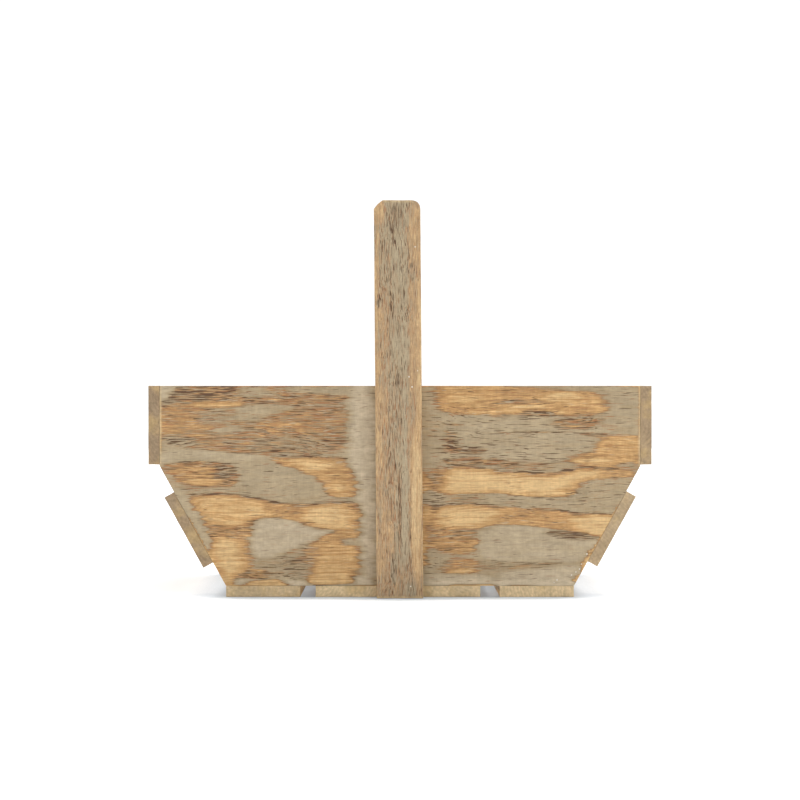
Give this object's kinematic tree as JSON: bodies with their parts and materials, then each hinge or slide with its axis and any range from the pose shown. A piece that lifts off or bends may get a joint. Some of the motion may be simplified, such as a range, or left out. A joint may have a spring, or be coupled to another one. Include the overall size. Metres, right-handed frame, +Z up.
{
  "type": "garden trug",
  "caption": "Slatted timber harvest trug with boat-shaped sides, gapped bottom and end slats, and two uprights that carry a round handle rail across its middle.",
  "frame": {"origin": "on the ground, under the middle of the trug", "axes": "+X along the trug's long sides, +Y from the front panel to the rear panel, +Z up"},
  "size_m": [0.5036, 0.3006, 0.3955],
  "materials": {
    "side_wood": "matt, brushed and thinly washed",
    "end_slat_wood": "matt, brushed and thinly washed",
    "bottom_slat_wood": "matt, brushed and thinly washed",
    "upright_wood": "matt, brushed and thinly washed",
    "handle_wood": "matt, rubbed smooth by hands",
    "nail_steel": "dull, slightly rusted",
    "screw_zinc": "satin zinc plating"
  },
  "bodies": {
    "root": {"front_panel": "side_wood", "rear_panel": "side_wood", "left_top_slat": "end_slat_wood", "right_top_slat": "end_slat_wood", "left_lower_slat": "end_slat_wood", "right_lower_slat": "end_slat_wood", "bottom_slat_1": "bottom_slat_wood", "bottom_slat_2": "bottom_slat_wood", "bottom_slat_3": "bottom_slat_wood", "bottom_slat_4": "bottom_slat_wood", "front_upright": "upright_wood", "rear_upright": "upright_wood", "handle_bar": "handle_wood", "left_top_slat_nail_1": "nail_steel", "left_top_slat_nail_2": "nail_steel", "left_top_slat_nail_3": "nail_steel", "left_top_slat_nail_4": "nail_steel", "right_top_slat_nail_1": "nail_steel", "right_top_slat_nail_2": "nail_steel", "right_top_slat_nail_3": "nail_steel", "right_top_slat_nail_4": "nail_steel", "left_lower_slat_nail_1": "nail_steel", "left_lower_slat_nail_2": "nail_steel", "left_lower_slat_nail_3": "nail_steel", "left_lower_slat_nail_4": "nail_steel", "right_lower_slat_nail_1": "nail_steel", "right_lower_slat_nail_2": "nail_steel", "right_lower_slat_nail_3": "nail_steel", "right_lower_slat_nail_4": "nail_steel", "bottom_slat_1_nail_1": "nail_steel", "bottom_slat_1_nail_2": "nail_steel", "bottom_slat_1_nail_3": "nail_steel", "bottom_slat_1_nail_4": "nail_steel", "bottom_slat_2_nail_1": "nail_steel", "bottom_slat_2_nail_2": "nail_steel", "bottom_slat_2_nail_3": "nail_steel", "bottom_slat_2_nail_4": "nail_steel", "bottom_slat_3_nail_1": "nail_steel", "bottom_slat_3_nail_2": "nail_steel", "bottom_slat_3_nail_3": "nail_steel", "bottom_slat_3_nail_4": "nail_steel", "bottom_slat_4_nail_1": "nail_steel", "bottom_slat_4_nail_2": "nail_steel", "bottom_slat_4_nail_3": "nail_steel", "bottom_slat_4_nail_4": "nail_steel", "front_upright_screw_1": "screw_zinc", "front_upright_screw_2": "screw_zinc", "front_upright_screw_3": "screw_zinc", "rear_upright_screw_1": "screw_zinc", "rear_upright_screw_2": "screw_zinc", "rear_upright_screw_3": "screw_zinc", "front_handle_pin": "nail_steel", "rear_handle_pin": "nail_steel"}
  },
  "joints": []
}
